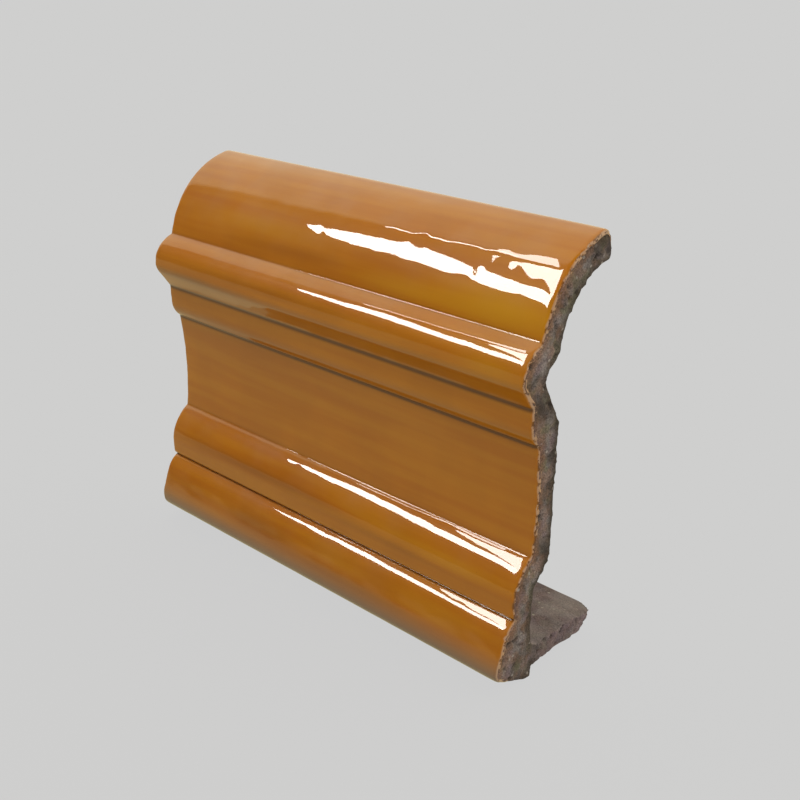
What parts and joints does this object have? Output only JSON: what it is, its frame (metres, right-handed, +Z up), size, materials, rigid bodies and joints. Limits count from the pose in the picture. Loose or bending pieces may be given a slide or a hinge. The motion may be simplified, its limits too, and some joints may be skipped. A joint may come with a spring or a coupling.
{
  "type": "decorative ridge tile",
  "caption": "Glazed ceramic ridge tile with a moulded face, a lip that curls back over the top and a bedding flange along the foot.",
  "frame": {"origin": "under the middle of the tile, at the height of its foot, on the ground that it stands on", "axes": "+X along the tile towards the end with the broken flange corner, -Y out of the glazed face, +Z up"},
  "size_m": [0.3, 0.0962, 0.2493],
  "materials": {
    "amber_glaze": "clear amber-brown glaze on fired clay, glossy, pooled dark in the creases",
    "fired_clay": "unglazed fired clay, rough and gritty, grey-brown, on the cut ends, the back and the flange"
  },
  "bodies": {
    "root": {"ridge_tile": "amber_glaze"}
  },
  "joints": []
}
